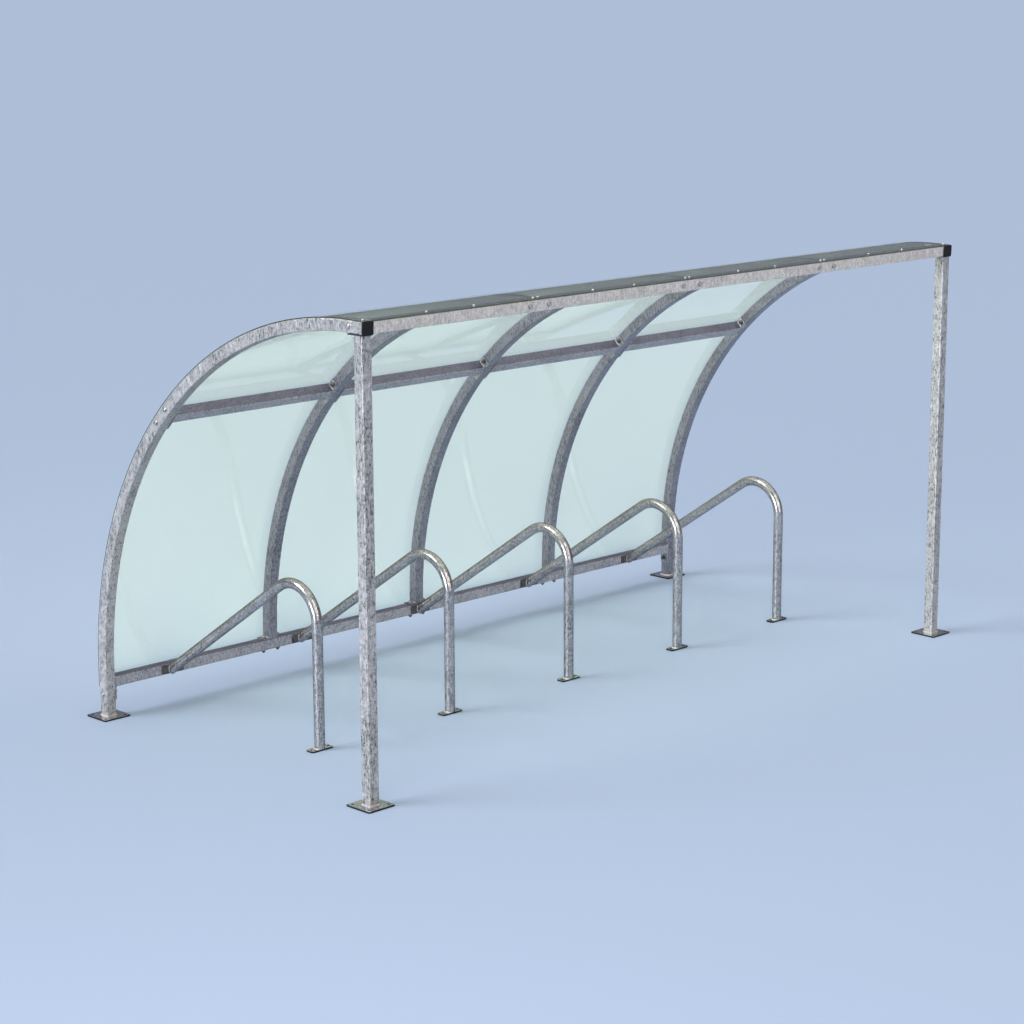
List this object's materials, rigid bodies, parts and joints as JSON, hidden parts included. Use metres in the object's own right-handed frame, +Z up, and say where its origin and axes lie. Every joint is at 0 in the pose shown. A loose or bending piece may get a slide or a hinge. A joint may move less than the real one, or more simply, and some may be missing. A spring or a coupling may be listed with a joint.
{
  "type": "bicycle shelter",
  "caption": "Open cycle shelter: bent box-section hoops on straight rails, clear curved roof sheets down the back, and a row of bent tube stands with base plates.",
  "frame": {"origin": "middle of the footprint, on the floor", "axes": "+X along the row of stands, to the right seen from the open front; +Y from the open front to the closed back; +Z up"},
  "size_m": [4.186, 2.0564, 2.1042],
  "materials": {
    "galvanised_steel": "hot-dip galvanised, matt spangle",
    "dark_galvanised_steel": "hot-dip galvanised, dull and darker",
    "black_cap": "moulded plastic",
    "clear_sheet": "clear plastic sheet, faint green, glossy"
  },
  "bodies": {
    "root": {"end_hoop_left": "galvanised_steel", "end_hoop_right": "galvanised_steel", "inner_hoop_1": "galvanised_steel", "inner_hoop_2": "galvanised_steel", "inner_hoop_3": "galvanised_steel", "hoop_base_left": "galvanised_steel", "hoop_base_right": "galvanised_steel", "front_post_left": "galvanised_steel", "front_post_right": "galvanised_steel", "post_base_left": "galvanised_steel", "post_base_right": "galvanised_steel", "front_beam": "galvanised_steel", "bottom_rail": "galvanised_steel", "mid_rail_1": "galvanised_steel", "mid_rail_2": "galvanised_steel", "mid_rail_3": "galvanised_steel", "mid_rail_4": "galvanised_steel", "stand_1": "galvanised_steel", "stand_2": "galvanised_steel", "stand_3": "galvanised_steel", "stand_4": "galvanised_steel", "stand_5": "galvanised_steel", "stand_foot_1": "galvanised_steel", "stand_foot_2": "galvanised_steel", "stand_foot_3": "galvanised_steel", "stand_foot_4": "galvanised_steel", "stand_foot_5": "galvanised_steel", "post_top_left": "dark_galvanised_steel", "post_top_right": "dark_galvanised_steel", "stand_bracket_1": "dark_galvanised_steel", "stand_bracket_2": "dark_galvanised_steel", "stand_bracket_3": "dark_galvanised_steel", "stand_bracket_4": "dark_galvanised_steel", "stand_bracket_5": "dark_galvanised_steel", "end_cap_left": "black_cap", "end_cap_right": "black_cap", "roof_sheet_1": "clear_sheet", "roof_sheet_2": "clear_sheet", "roof_sheet_3": "clear_sheet", "roof_sheet_4": "clear_sheet"}
  },
  "joints": []
}
